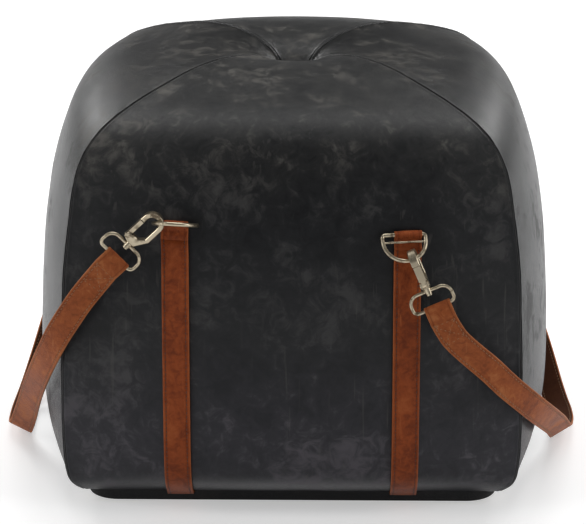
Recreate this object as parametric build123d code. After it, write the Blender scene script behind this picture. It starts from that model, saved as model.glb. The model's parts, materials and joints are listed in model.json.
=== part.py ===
from build123d import *
import math
import os

# A square leather pouf with two sling straps, D-rings, snap hooks and two carry straps.
# Millimetres. +Z is up, the front is -Y, the origin is on the floor under the middle.

# Outer form of the leather body
form_half_width = 250.0
form_height = 400.0
leather_thickness = 1.6
seam_bead_half_width = 0.8
seam_bead_rise = 1.0
seam_side_clearance = 0.1

# One row per height: the corner seam's half-width and height, then the mid-side's.
# Half-widths are shares of form_half_width, heights are shares of form_height.
form_row_shares = [
    (0.800, 0.030, 0.808, 0.030),
    (0.828, 0.048, 0.872, 0.052),
    (0.848, 0.070, 0.936, 0.079),
    (0.858, 0.105, 0.984, 0.112),
    (0.864, 0.160, 1.006, 0.165),
    (0.866, 0.238, 1.014, 0.238),
    (0.864, 0.325, 1.013, 0.325),
    (0.860, 0.412, 1.008, 0.412),
    (0.855, 0.500, 1.000, 0.500),
    (0.848, 0.588, 0.988, 0.588),
    (0.837, 0.655, 0.973, 0.657),
    (0.824, 0.720, 0.955, 0.720),
    (0.810, 0.780, 0.932, 0.775),
    (0.792, 0.828, 0.906, 0.825),
    (0.766, 0.865, 0.876, 0.872),
    (0.728, 0.898, 0.836, 0.912),
    (0.680, 0.924, 0.772, 0.945),
    (0.620, 0.946, 0.690, 0.967),
    (0.552, 0.965, 0.600, 0.980),
    (0.480, 0.982, 0.520, 0.990),
    (0.404, 0.998, 0.440, 0.999),
    (0.332, 1.008, 0.364, 1.004),
    (0.264, 1.011, 0.294, 1.004),
    (0.208, 1.008, 0.228, 0.998),
    (0.152, 1.000, 0.164, 0.986),
    (0.104, 0.985, 0.112, 0.970),
    (0.072, 0.965, 0.078, 0.952),
    (0.052, 0.940, 0.058, 0.940),
]

# Base board and its black wrap
base_half_width = 197.0
base_corner_radius = 30.0
base_wrap_thickness = 1.2
base_wrap_clearance = 0.1

# Frame box of posts, rails and deck
frame_half_width = 176.0
post_width = 38.0
rail_thickness = 20.0
bottom_rail_height = 45.0
top_rail_height = 45.0
deck_thickness = 12.0
deck_top_height = 300.0
wood_clearance = 0.1

# Frame screws
screw_shank_radius = 2.0
screw_head_radius = 4.0
screw_head_height = 2.5
screw_length = 38.0
screw_clearance = 0.1

# Foam
foam_clearance = 0.7
foam_gap = 0.3

# Tufting
button_radius = 11.0
button_height = 6.5
button_edge_radius = 3.0
twine_radius = 0.9
twine_clearance = 0.4
washer_radius = 12.0
washer_thickness = 1.5
twine_knot_radius = 2.6

# Tan leather straps
strap_width = 25.4
strap_thickness = 2.8
strap_layer_thickness = 1.4
strap_skin_clearance = 0.35
strap_spacing_half = 106.5
strap_groove_clearance = 0.5
strap_bend_drop = 1.2
ring_wrap_clearance = 0.15
wrap_mouth_drop = 6.5
wrap_tail_length = 14.0
wrap_shoulder_angle = 40.0

# Heights of the D-ring bars on the two sling straps, and how far the rings stand out
left_bar_height = 290.0
right_bar_height = 282.0
left_ring_tilt = 109.0
right_ring_tilt = 38.0
left_ring_slide = 2.0
right_ring_slide = -4.2

# D-rings
ring_wire_radius = 1.9
ring_half_width = 20.05
ring_corner_radius = 3.0
ring_side_length = 2.5
ring_cross_bar_radius = 0.9
ring_cross_bar_drop = 7.6
ring_cross_bar_lift = 0.6

# Snap hooks
hook_width = 7.6
eye_half_width = 6.2
eye_length = 19.6
hook_band = 4.4
nose_length = 4.2
gate_gap = 0.5
base_length = 8.4
base_neck_half_width = 3.2
gate_thickness = 4.0
gate_tongue_half_width = 2.4
cheek_clearance = 0.3
rivet_radius = 1.1
rivet_head_radius = 1.9
rivet_head_height = 0.7
pin_clearance = 0.05
gate_eye_radius = 2.6
gate_pivot_inset = 3.5
edge_break = 0.6
swivel_pin_radius = 1.5
swivel_head_radius = 2.6
swivel_head_height = 1.6
swivel_end_play = 0.2

# Swivel loops
loop_wire_radius = 1.6
loop_half_length = 20.0
loop_depth = 16.8
loop_near_radius = 9.0
loop_far_radius = 4.5
collar_radius = 3.1
collar_length = 4.8

# Where each hook holds its ring
left_hook_reach = 15.2
left_hook_slope = 43.8
left_wire_along = -1.25
left_wire_across = 1.2
right_hook_bow_angle = 22.0
right_hook_slope = 66.0
right_hook_lean = 8.5
right_wire_along = -1.0
right_wire_across = 2.0
left_strap_offset = 2.6
right_strap_offset = 2.5

# Carry strap routes as shares of form_half_width, form_half_width and form_height: the
# strap's middle line from the front corner to the bend on the floor. The last three
# values of each row are the direction across the strap, towards its outer edge.
left_route_shares = [
    (-0.720, -0.976, 0.596, -0.78, 0.04, 0.62),
    (-0.771, -0.964, 0.554, -0.80, 0.12, 0.59),
    (-0.819, -0.944, 0.507, -0.81, 0.21, 0.56),
    (-0.869, -0.912, 0.453, -0.77, 0.31, 0.55),
    (-0.915, -0.852, 0.391, -0.69, 0.39, 0.61),
    (-0.968, -0.728, 0.308, -0.66, 0.37, 0.65),
    (-1.020, -0.536, 0.211, -0.70, 0.31, 0.64),
    (-1.060, -0.364, 0.126, -0.79, 0.23, 0.57),
    (-1.088, -0.260, 0.070, -0.85, 0.15, 0.50),
    (-1.106, -0.200, 0.038, -0.88, 0.07, 0.46),
    (-1.117, -0.140, 0.023, -0.89, 0.02, 0.45),
    (-1.121, -0.072, 0.020, -0.90, 0.00, 0.43),
    (-1.122, 0.000, 0.020, -0.90, 0.00, 0.43),
]
right_route_shares = [
    (0.600, -1.048, 0.480, 0.84, 0.03, 0.54),
    (0.662, -1.030, 0.438, 0.77, 0.09, 0.64),
    (0.737, -1.002, 0.391, 0.71, 0.16, 0.69),
    (0.807, -0.966, 0.341, 0.67, 0.22, 0.71),
    (0.880, -0.904, 0.289, 0.62, 0.26, 0.74),
    (0.943, -0.800, 0.234, 0.62, 0.25, 0.74),
    (0.997, -0.624, 0.170, 0.68, 0.21, 0.70),
    (1.040, -0.424, 0.105, 0.78, 0.16, 0.61),
    (1.072, -0.248, 0.046, 0.84, 0.10, 0.54),
    (1.087, -0.136, 0.025, 0.88, 0.02, 0.48),
    (1.095, -0.056, 0.020, 0.90, 0.00, 0.44),
    (1.096, 0.000, 0.020, 0.90, 0.00, 0.43),
]
route_blends = 2

# Weights of the near and far neighbours in a smooth midpoint
near_blend_share = 0.5625
far_blend_share = -0.0625

overrun = 1.0
round_gap = 0.02



# Small helpers for points and tracks
def smoothed(rows):
    """The same rows with one more between each pair, on a smooth curve through them."""
    result = []
    for index in range(len(rows) - 1):
        before = rows[max(index - 1, 0)]
        after = rows[min(index + 2, len(rows) - 1)]
        near = zip(rows[index], rows[index + 1])
        far = zip(before, after)
        result.append(rows[index])
        result.append(tuple(
            near_blend_share * (a + b) + far_blend_share * (c + d)
            for (a, b), (c, d) in zip(near, far)))
    result.append(rows[-1])
    return result


form_rows = [
    (a * form_half_width, b * form_height, c * form_half_width, d * form_height)
    for a, b, c, d in smoothed(form_row_shares)
]
body_bottom = form_rows[0][1]
base_thickness = body_bottom
root_two = math.sqrt(2.0)


def unit(vector):
    length = math.sqrt(sum(value * value for value in vector))
    return tuple(value / length for value in vector)


def shifted(point, direction, distance):
    return tuple(p + distance * d for p, d in zip(point, direction))


def negative(vector):
    return tuple(-value for value in vector)


def level(vector):
    """The same heading without its climb."""
    return unit((vector[0], vector[1], 0))


def cross(a, b):
    return (a[1] * b[2] - a[2] * b[1], a[2] * b[0] - a[0] * b[2], a[0] * b[1] - a[1] * b[0])


def track_normals(track):
    """Outward unit normals of a half profile that runs up the side and in over the top."""
    normals = []
    for index in range(len(track)):
        before = track[max(index - 1, 0)]
        after = track[min(index + 1, len(track) - 1)]
        run = after[0] - before[0]
        climb = after[1] - before[1]
        length = math.hypot(run, climb)
        normals.append((climb / length, -run / length))
    for end in (0, -1):
        across = normals[end][0]
        normals[end] = (1.0 / across, 0.0)
    return normals


def inset_track(track, depth):
    normals = track_normals(track)
    return [(r - depth * n[0], z - depth * n[1]) for (r, z), n in zip(track, normals)]


def inset_rows(rows, depth):
    """The form's rows moved in by a depth, square to the surface."""
    seam = inset_track([(row[0] * root_two, row[1]) for row in rows], depth)
    middle = inset_track([(row[2], row[3]) for row in rows], depth)
    return [(s[0] / root_two, s[1], m[0], m[1]) for s, m in zip(seam, middle)]


def side_row(rows, height):
    """A level row at one height on the side walls, between two of the given rows."""
    values = []
    for first in (0, 2):
        for low, high in zip(rows, rows[1:]):
            if low[first + 1] <= height <= high[first + 1]:
                share = (height - low[first + 1]) / (high[first + 1] - low[first + 1])
                values.append(low[first] + share * (high[first] - low[first]))
                break
    return (values[0], height, values[1], height)


def bulge(row, across):
    """How far the panel's arc stands out of its corner chord, as a share of its middle rise."""
    half_chord = row[0]
    rise = math.hypot(row[2] - row[0], row[3] - row[1])
    radius = (half_chord ** 2 + rise ** 2) / (2 * rise)
    height = math.sqrt(radius ** 2 - across ** 2) - (radius - rise)
    return height / rise


def skin_point(row, across):
    """A point of the front panel's outer face on one row."""
    share = bulge(row, across)
    return (across, -(row[0] + (row[2] - row[0]) * share), row[1] + (row[3] - row[1]) * share)


def panel_arc(row, trim):
    half = row[0] - trim
    return ThreePointArc((-half, -row[0], row[1]), (0, -row[2], row[3]), (half, -row[0], row[1]))


def ruled(sections):
    return Solid.make_loft(sections, True)


def closed_wire(points):
    edges = [Line(a, b) for a, b in zip(points, points[1:] + points[:1])]
    return Wire(edges)


def turned(shape, quarter):
    return shape.rotate(Axis.Z, quarter * 90)


def mirrored_back(shape):
    return mirror(shape, about=Plane.XZ)


# Leather gores and seams
def gore_section(outer, inner, trim):
    upper = panel_arc(outer, trim)
    lower = panel_arc(inner, trim)
    edges = [upper, Line(upper @ 1, lower @ 1), lower, Line(lower @ 0, upper @ 0)]
    return Wire(edges)


def leather_gore():
    trim = root_two * (seam_bead_half_width + seam_side_clearance)
    inner_rows = inset_rows(form_rows, leather_thickness)
    sections = [gore_section(a, b, trim) for a, b in zip(form_rows, inner_rows)]
    return ruled(sections)


def seam_bead():
    """The raised seam between two gores, along the front left corner."""
    track = [(row[0] * root_two, row[1]) for row in form_rows]
    side = (1 / root_two, -1 / root_two, 0)
    sections = []
    for (radius, height), normal in zip(track, track_normals(track)):
        def place(depth, offset):
            length = math.hypot(*normal)
            r = radius - depth * normal[0] / length
            corner = (-r / root_two, -r / root_two, height - depth * normal[1] / length)
            return shifted(corner, side, offset)
        half = seam_bead_half_width
        shoulder = -seam_bead_rise / 3
        edges = [
            Line(place(leather_thickness, -half), place(leather_thickness, half)),
            Line(place(leather_thickness, half), place(shoulder, half)),
            ThreePointArc(place(shoulder, half), place(-seam_bead_rise, 0), place(shoulder, -half)),
            Line(place(shoulder, -half), place(leather_thickness, -half)),
        ]
        sections.append(Wire(edges))
    return ruled(sections)


# Base board and wrap
def strap_grooves():
    """Shallow channels across the board's top, which the sling straps run through."""
    depth = strap_thickness + strap_bend_drop + strap_groove_clearance
    width = strap_width + 2 * strap_groove_clearance
    length = 2 * (base_half_width + overrun)
    channels = []
    for side in (-1, 1):
        channel = Box(width, length, depth + overrun, align=(Align.CENTER, Align.CENTER, Align.MIN))
        channels.append(Pos(side * strap_spacing_half, 0, base_thickness - depth) * channel)
    return channels


def rounded_slab(half_width, corner_radius, thickness):
    outline = RectangleRounded(2 * half_width, 2 * half_width, corner_radius)
    return extrude(outline, thickness)


def base_board():
    half = base_half_width - base_wrap_thickness - base_wrap_clearance
    radius = base_corner_radius - base_wrap_thickness - base_wrap_clearance
    height = base_thickness - base_wrap_thickness
    board = Pos(0, 0, base_wrap_thickness) * rounded_slab(half, radius, height)
    for channel in strap_grooves():
        board = board - channel
    for x, y in post_centres():
        shank = Cylinder(screw_shank_radius + screw_clearance, 3 * base_thickness)
        head_depth = screw_head_height + screw_clearance
        head = Cylinder(screw_head_radius + screw_clearance, 2 * head_depth)
        board = board - Pos(x, y, 0) * shank
        board = board - Pos(x, y, base_wrap_thickness) * head
    return board


def base_wrap():
    tray = rounded_slab(base_half_width, base_corner_radius, base_thickness)
    hollow_half = base_half_width - base_wrap_thickness
    hollow_radius = base_corner_radius - base_wrap_thickness
    hollow = rounded_slab(hollow_half, hollow_radius, base_thickness)
    tray = tray - Pos(0, 0, base_wrap_thickness) * hollow
    for channel in strap_grooves():
        tray = tray - channel
    return tray


# Frame box
def post_centres():
    place = frame_half_width - post_width / 2
    return [(sx * place, sy * place) for sx in (-1, 1) for sy in (-1, 1)]


def corner_post(sx, sy):
    place = frame_half_width - post_width / 2
    low = base_thickness
    height = deck_top_height - deck_thickness - low
    align = (Align.CENTER, Align.CENTER, Align.MIN)
    post = Pos(sx * place, sy * place, low) * Box(post_width, post_width, height, align=align)
    for level in (low, low + height):
        reach = 2 * (screw_length + screw_clearance)
        hole = Cylinder(screw_shank_radius + screw_clearance, reach)
        post = post - Pos(sx * place, sy * place, level) * hole
    return post


def rail(low, height):
    """One rail between the two front posts, flush with their outer faces."""
    length = 2 * (frame_half_width - post_width - wood_clearance)
    align = (Align.CENTER, Align.MIN, Align.MIN)
    return Pos(0, -frame_half_width, low) * Box(length, rail_thickness, height, align=align)


def deck_board():
    low = deck_top_height - deck_thickness
    outline = Rectangle(2 * frame_half_width, 2 * frame_half_width)
    deck = Pos(0, 0, low) * extrude(outline, deck_thickness)
    deck = deck - Pos(0, 0, low) * Cylinder(twine_radius + twine_clearance, 4 * deck_thickness)
    for x, y in post_centres():
        shank = Cylinder(screw_shank_radius + screw_clearance, 4 * deck_thickness)
        head_depth = screw_head_height + screw_clearance
        head = Cylinder(screw_head_radius + screw_clearance, 2 * head_depth)
        deck = deck - Pos(x, y, low) * shank
        deck = deck - Pos(x, y, deck_top_height) * head
    return deck


def frame_screw():
    """A flat-headed screw, its head's face at zero and its shank pointing up."""
    align = (Align.CENTER, Align.CENTER, Align.MIN)
    head = Cylinder(screw_head_radius, screw_head_height, align=align)
    shank = Cylinder(screw_shank_radius, screw_length, align=align)
    return head + shank


def frame_screws():
    screws = []
    for x, y in post_centres():
        screws.append(Pos(x, y, base_wrap_thickness) * frame_screw())
        screws.append(Pos(x, y, deck_top_height) * Rot(180, 0, 0) * frame_screw())
    return Compound(children=screws)


# Foam
def side_pad():
    """The front side pad, flat against the frame and curved like the leather outside."""
    rows = inset_rows(form_rows, leather_thickness + foam_clearance)
    bottom = base_thickness + foam_gap
    top = deck_top_height - foam_gap
    levels = [bottom] + [row[1] for row in rows if bottom < row[1] < top] + [top]
    flat = frame_half_width + foam_gap
    sections = []
    for level in levels:
        row = side_row(rows, level)
        arc = panel_arc(row, foam_gap)
        left = (-flat + foam_gap, -flat, level)
        right = (flat - foam_gap, -flat, level)
        sections.append(Wire([arc, Line(arc @ 1, right), Line(right, left), Line(left, arc @ 0)]))
    return ruled(sections)


def ring_section(row):
    corner, low, middle, high = row
    points = [(-corner, -corner, low), (corner, -corner, low), (corner, corner, low), (-corner, corner, low)]
    crests = [(0, -middle, high), (middle, 0, high), (0, middle, high), (-middle, 0, high)]
    ends = points[1:] + points[:1]
    return Wire([ThreePointArc(a, m, b) for a, m, b in zip(points, crests, ends)])


def seat_foam():
    rows = inset_rows(form_rows, leather_thickness + foam_clearance)
    bottom = deck_top_height + foam_gap
    upper = [row for row in rows if min(row[1], row[3]) > bottom]
    sections = [ring_section(side_row(rows, bottom))] + [ring_section(row) for row in upper]
    foam = ruled(sections)
    return foam - Pos(0, 0, form_height) * Cylinder(twine_radius + twine_clearance, form_height)


# Tufting
def seat_of_button():
    return inset_rows(form_rows, leather_thickness + foam_clearance)[-1][1] + foam_gap


def tuft_button():
    align = (Align.CENTER, Align.CENTER, Align.MIN)
    button = Pos(0, 0, seat_of_button()) * Cylinder(button_radius, button_height, align=align)
    rim = button.edges().filter_by(GeomType.CIRCLE).sort_by(Axis.Z)[-1]
    return fillet(rim, button_edge_radius)


def tuft_washer():
    low = deck_top_height - deck_thickness - washer_thickness
    align = (Align.CENTER, Align.CENTER, Align.MIN)
    washer = Pos(0, 0, low) * Cylinder(washer_radius, washer_thickness, align=align)
    return washer - Pos(0, 0, low) * Cylinder(twine_radius + twine_clearance, 3 * washer_thickness)


def tuft_twine():
    low = deck_top_height - deck_thickness - washer_thickness
    height = seat_of_button() - low
    align = (Align.CENTER, Align.CENTER, Align.MIN)
    twine = Pos(0, 0, low) * Cylinder(twine_radius, height, align=align)
    knot = Pos(0, 0, low - twine_knot_radius) * Sphere(twine_knot_radius)
    return twine + knot


# Straps
def strap_section(centre, across, along, width, thickness):
    """A flat rectangle square to the strap's run, as a closed wire."""
    across = unit(across)
    face = unit(cross(across, along))
    corners = []
    for a, b in ((-1, -1), (1, -1), (1, 1), (-1, 1)):
        edge = shifted(centre, across, a * width / 2)
        corners.append(shifted(edge, face, b * thickness / 2))
    return closed_wire(corners)


def runs(points):
    """The direction of travel at each point, taken from its neighbours."""
    result = []
    for index in range(len(points)):
        before = points[max(index - 1, 0)]
        after = points[min(index + 1, len(points) - 1)]
        result.append(unit(tuple(b - a for a, b in zip(before, after))))
    return result


def wrap_outline(bar_radius, layer, thickness, mouth, tail):
    """Side view of a strap end folded over a bar: x out from the strap's back, y along it."""
    hole = bar_radius + ring_wrap_clearance
    roll = hole + layer
    centre = (roll, 0)
    angle = math.radians(wrap_shoulder_angle)
    shoulder = (roll + roll * math.cos(angle), -roll * math.sin(angle))
    half = roll / root_two
    back = ThreePointArc((0, 0), (roll - half, half), (roll, roll))
    front = ThreePointArc((roll, roll), (roll + half, half), shoulder)
    edges = [
        back,
        front,
        Line(shoulder, (thickness, -mouth)),
        Line((thickness, -mouth), (thickness, -tail)),
        Line((thickness, -tail), (0, -tail)),
        Line((0, -tail), (0, 0)),
    ]
    outline = make_face(edges)
    return outline - Pos(*centre) * Circle(hole)


def sling_frame(side, bar_height):
    """A point of the leather behind a ring's bar, and the strap's directions there."""
    x = side * strap_spacing_half
    row = side_row(form_rows, bar_height)
    back = skin_point(row, x)
    above = skin_point(side_row(form_rows, bar_height + strap_width / 2), x)
    below = skin_point(side_row(form_rows, bar_height - strap_width / 2), x)
    across = unit((1, 2 * (row[2] - row[0]) * x / row[0] ** 2, 0))
    rise = tuple(b - a for a, b in zip(below, above))
    outward = unit(cross(across, rise))
    return back, across, outward


def bar_offset():
    return strap_skin_clearance + ring_wire_radius + ring_wrap_clearance + strap_layer_thickness


def bar_centre(side, bar_height):
    back, across, outward = sling_frame(side, bar_height)
    return shifted(back, outward, bar_offset())


def sling_wrap(side, bar_height):
    """The strap's end folded over the D-ring's bar."""
    back, across, outward = sling_frame(side, bar_height)
    outline = wrap_outline(ring_wire_radius, strap_layer_thickness, strap_thickness,
                           wrap_mouth_drop, wrap_tail_length)
    origin = shifted(shifted(back, outward, strap_skin_clearance), across, strap_width / 2)
    frame = Plane(origin=origin, x_dir=outward, z_dir=negative(across))
    return frame.location * extrude(outline, strap_width)


def sling_leg(side, bar_height):
    """The strap's run down the front and into the groove under the body."""
    x = side * strap_spacing_half
    lift = strap_skin_clearance + strap_thickness / 2
    back, across, outward = sling_frame(side, bar_height)
    down = cross(across, outward)
    top = shifted(shifted(back, outward, lift), down, wrap_tail_length)
    places = [(top, across)]
    rows = [row for row in form_rows if row[1] < top[2] - wrap_tail_length]
    points = [skin_point(row, x) for row in rows]
    directions = runs(points)
    for row, point, along in reversed(list(zip(rows, points, directions))[1:]):
        slope = 2 * (row[2] - row[0]) * x / row[0] ** 2
        drop = 2 * (row[3] - row[1]) * x / row[0] ** 2
        width_way = unit((1, slope, -drop))
        face = unit(cross(width_way, along))
        places.append((shifted(point, face, lift), width_way))
    floor = base_thickness - strap_bend_drop - strap_thickness / 2
    first = form_rows[0]
    places.append(((x, -(first[0] + strap_thickness), floor + strap_bend_drop / 2), (1, 0, 0)))
    places.append(((x, -(first[0] - 2 * strap_thickness), floor), (1, 0, 0)))
    directions = runs([place[0] for place in places])
    directions[0] = down
    directions[-1] = (0, 1, 0)
    sections = [
        strap_section(centre, across, along, strap_width, strap_thickness)
        for (centre, across), along in zip(places, directions)
    ]
    return ruled(sections), places[-1][0]


def sling_strap(side, bar_height):
    leg, foot = sling_leg(side, bar_height)
    front = leg + sling_wrap(side, bar_height)
    run = Pos(foot[0], 0, foot[2]) * Box(strap_width, -2 * foot[1], strap_thickness)
    return front + run + mirrored_back(front)


# D-rings
def ring_path():
    """The ring's centre line: the bar along X, the bow hanging towards -Y."""
    half = ring_half_width
    corner = ring_corner_radius
    diagonal = corner / root_two
    low = -corner - ring_side_length
    bow = half / root_two
    return Wire([
        Line((-half + corner, 0), (half - corner, 0)),
        ThreePointArc((half - corner, 0), (half - corner + diagonal, diagonal - corner), (half, -corner)),
        Line((half, -corner), (half, low)),
        ThreePointArc((half, low), (bow, low - bow), (0, low - half)),
        ThreePointArc((0, low - half), (-bow, low - bow), (-half, low)),
        Line((-half, low), (-half, -corner)),
        ThreePointArc((-half, -corner), (corner - half - diagonal, diagonal - corner), (corner - half, 0)),
    ])


def wire_sweep(path, radius):
    start = path @ 0
    way = path % 0
    return sweep(Plane(origin=start, z_dir=way) * Circle(radius), path=path)


def d_ring():
    ring = wire_sweep(ring_path(), ring_wire_radius)
    drop = ring_cross_bar_drop - ring_corner_radius - ring_side_length
    reach = math.sqrt(ring_half_width ** 2 - drop ** 2)
    bar = Rot(0, 90, 0) * Cylinder(ring_cross_bar_radius, 2 * reach)
    return ring + Pos(0, -ring_cross_bar_drop, ring_cross_bar_lift) * bar


def ring_frame(side, bar_height, tilt, slide):
    back, across, outward = sling_frame(side, bar_height)
    angle = math.radians(tilt)
    bow_way = shifted((0, 0, -math.cos(angle)), level(outward), math.sin(angle))
    normal = cross(across, negative(bow_way))
    origin = shifted(bar_centre(side, bar_height), across, slide)
    return Plane(origin=origin, x_dir=across, z_dir=normal)


def left_ring_frame():
    return ring_frame(-1, left_bar_height, left_ring_tilt, left_ring_slide)


def right_ring_frame():
    return ring_frame(1, right_bar_height, right_ring_tilt, right_ring_slide)


def ring_point(frame, offset, reach):
    """A point of the ring's wire: an offset along the bar and a reach square to it."""
    return tuple(frame.from_local_coords((offset, -reach, 0)))


def left_hold():
    depth = left_hook_reach - ring_corner_radius - ring_side_length
    offset = -math.sqrt(ring_half_width ** 2 - depth ** 2)
    return ring_point(left_ring_frame(), offset, left_hook_reach)


def right_hold():
    angle = math.radians(right_hook_bow_angle)
    offset = ring_half_width * math.sin(angle)
    reach = ring_corner_radius + ring_side_length + ring_half_width * math.cos(angle)
    return ring_point(right_ring_frame(), offset, reach)


# Hook frames: X runs from crown to swivel, the gate is on the -Y side
def hook_frame(hold, along, face, wire_along, wire_across):
    """The frame of a hook that holds the ring's wire at a given place in its eye."""
    across = cross(face, along)
    origin = shifted(shifted(hold, along, -wire_along), across, -wire_across)
    return Plane(origin=origin, x_dir=along, z_dir=face)


def left_hook_frame():
    angle = math.radians(left_hook_slope)
    along = (-math.cos(angle), 0, -math.sin(angle))
    return hook_frame(left_hold(), along, (0, -1, 0), left_wire_along, left_wire_across)


def right_hook_frame():
    angle = math.radians(right_hook_slope)
    lean = math.tan(math.radians(right_hook_lean))
    along = unit((math.cos(angle), -lean, -math.sin(angle)))
    face = (math.sin(angle), 0, math.cos(angle))
    return hook_frame(right_hold(), along, face, right_wire_along, right_wire_across)


hook_outer = eye_half_width + hook_band
base_start = eye_length
base_end = base_start + base_length
gate_pivot = (base_start + gate_pivot_inset, -(eye_half_width + gate_thickness / 3))
base_inner_edge = gate_pivot[1] + gate_eye_radius + cheek_clearance
collar_start = base_end + swivel_end_play
collar_end = collar_start + collar_length
loop_near = collar_start + collar_length / 2
loop_far = loop_near + loop_depth


def hook_outline():
    """The hook's side view: a crown, one solid side, a short nose and the base."""
    diagonal_out = hook_outer / root_two
    diagonal_in = eye_half_width / root_two
    shoulder = base_start - hook_band
    edges = [
        Line((nose_length, -hook_outer), (0, -hook_outer)),
        ThreePointArc((0, -hook_outer), (-diagonal_out, -diagonal_out), (-hook_outer, 0)),
        ThreePointArc((-hook_outer, 0), (-diagonal_out, diagonal_out), (0, hook_outer)),
        Line((0, hook_outer), (shoulder, hook_outer)),
        Line((shoulder, hook_outer), (base_end, base_neck_half_width)),
        Line((base_end, base_neck_half_width), (base_end, base_inner_edge)),
        Line((base_end, base_inner_edge), (base_start, base_inner_edge)),
        Line((base_start, base_inner_edge), (base_start, eye_half_width - hook_band)),
        Line((base_start, eye_half_width - hook_band), (shoulder, eye_half_width)),
        Line((shoulder, eye_half_width), (0, eye_half_width)),
        ThreePointArc((0, eye_half_width), (-diagonal_in, diagonal_in), (-eye_half_width, 0)),
        ThreePointArc((-eye_half_width, 0), (-diagonal_in, -diagonal_in), (0, -eye_half_width)),
        Line((0, -eye_half_width), (nose_length, -eye_half_width)),
        Line((nose_length, -eye_half_width), (nose_length, -hook_outer)),
    ]
    return make_face(edges)


def cheek_outline():
    """The two thin ears that hold the gate's rivet."""
    x, y = gate_pivot
    return make_face(closed_wire([
        (x - gate_eye_radius - gate_gap, base_inner_edge + overrun),
        (x - gate_eye_radius, y - gate_eye_radius),
        (x + gate_eye_radius, y - gate_eye_radius),
        (base_end, base_inner_edge + overrun),
    ]))


def hook_body():
    """Hook, cheeks and swivel pin in the hook's own frame, its middle plane at zero."""
    plate = extrude(hook_outline(), hook_width / 2, both=True)
    plate = chamfer(plate.edges().filter_by(Plane.XY), edge_break)
    inner = gate_tongue_half_width + cheek_clearance
    cheek = extrude(cheek_outline(), hook_width / 2 - inner)
    body = plate + Pos(0, 0, inner) * cheek + Pos(0, 0, -hook_width / 2) * cheek
    body = body - Pos(*gate_pivot, 0) * Cylinder(rivet_radius + pin_clearance, 2 * hook_width)
    align = (Align.CENTER, Align.CENTER, Align.MIN)
    pin_length = collar_length + 2 * swivel_end_play + overrun
    middle = (base_inner_edge + base_neck_half_width) / 2
    pin = Pos(base_end - overrun, middle, 0) * Rot(0, 90, 0) * Cylinder(
        swivel_pin_radius, pin_length, align=align)
    head = Pos(collar_end + swivel_end_play, middle, 0) * Rot(0, 90, 0) * Cylinder(
        swivel_head_radius, swivel_head_height, align=align)
    return body + pin + head


swivel_line = (base_inner_edge + base_neck_half_width) / 2


def hook_gate():
    """The sprung lever: full width over the eye, a tongue between the cheeks."""
    x, y = gate_pivot
    start = nose_length + gate_gap
    wide_end = x - gate_eye_radius - 2 * gate_gap - cheek_clearance
    low = -eye_half_width - gate_thickness
    wide = make_face(closed_wire([
        (start, low), (start, -eye_half_width), (wide_end, -eye_half_width), (wide_end, low)]))
    tongue = make_face(closed_wire([
        (wide_end - overrun, low), (wide_end - overrun, -eye_half_width),
        (x, -eye_half_width), (x, y - gate_eye_radius)]))
    lever = extrude(wide, (hook_width - edge_break) / 2, both=True)
    lever = lever + extrude(tongue, gate_tongue_half_width, both=True)
    lever = lever + Pos(x, y, 0) * Cylinder(gate_eye_radius, 2 * gate_tongue_half_width)
    return lever - Pos(x, y, 0) * Cylinder(rivet_radius + pin_clearance, 2 * hook_width)


def gate_rivet():
    x, y = gate_pivot
    rivet = Cylinder(rivet_radius, hook_width)
    for end in (-1, 1):
        place = end * (hook_width + rivet_head_height) / 2
        rivet = rivet + Pos(0, 0, place) * Cylinder(rivet_head_radius, rivet_head_height)
    return Pos(x, y, 0) * rivet


def corner_arc(centre_x, centre_y, radius, x_way, y_way):
    """A quarter turn from the side facing x_way to the end facing y_way."""
    reach = radius / root_two
    start = (centre_x + x_way * radius, centre_y)
    middle = (centre_x + x_way * reach, centre_y + y_way * reach)
    return ThreePointArc(start, middle, (centre_x, centre_y + y_way * radius))


def swivel_loop():
    """A flat wire loop with the swivel's collar, long axis on Y, in the hook's frame."""
    near_half = loop_half_length - loop_near_radius
    far_half = loop_half_length - loop_far_radius
    near_x = loop_near + loop_near_radius
    far_x = loop_far - loop_far_radius
    path = Wire([
        Line((loop_near, -near_half), (loop_near, near_half)),
        corner_arc(near_x, near_half, loop_near_radius, -1, 1),
        Line((near_x, loop_half_length), (far_x, loop_half_length)),
        corner_arc(far_x, far_half, loop_far_radius, 1, 1),
        Line((loop_far, far_half), (loop_far, -far_half)),
        corner_arc(far_x, -far_half, loop_far_radius, 1, -1),
        Line((far_x, -loop_half_length), (near_x, -loop_half_length)),
        corner_arc(near_x, -near_half, loop_near_radius, -1, -1),
    ])
    loop = wire_sweep(path, loop_wire_radius)
    loop = loop + Pos(loop_near, 0, 0) * Rot(0, 90, 0) * Cylinder(collar_radius, collar_length)
    hole = Cylinder(swivel_pin_radius + pin_clearance, 2 * collar_length)
    return loop - Pos(loop_near, 0, 0) * Rot(0, 90, 0) * hole


def on_swivel(frame, quarter):
    """The loop's place: on the swivel's line, turned about it."""
    return frame.location * Pos(0, swivel_line, 0) * Rot(90 * quarter, 0, 0)


# Carry straps
def strap_end(frame, quarter, offset):
    """The strap's end folded round the loop's far side, and where its flat run starts."""
    outline = wrap_outline(loop_wire_radius, strap_layer_thickness, strap_thickness,
                           wrap_mouth_drop, wrap_tail_length)
    roll = loop_wire_radius + ring_wrap_clearance + strap_layer_thickness
    place = on_swivel(frame, quarter)
    # The outline's x becomes the loop's thickness, its -y the way the strap leaves
    turn = Plane(origin=(loop_far, offset - strap_width / 2, roll), x_dir=(0, 0, -1), z_dir=(0, 1, 0))
    end = place * turn.location * extrude(outline, strap_width)
    start = place * Pos(loop_far + wrap_tail_length, offset, roll - strap_thickness / 2)
    return end, start


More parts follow.
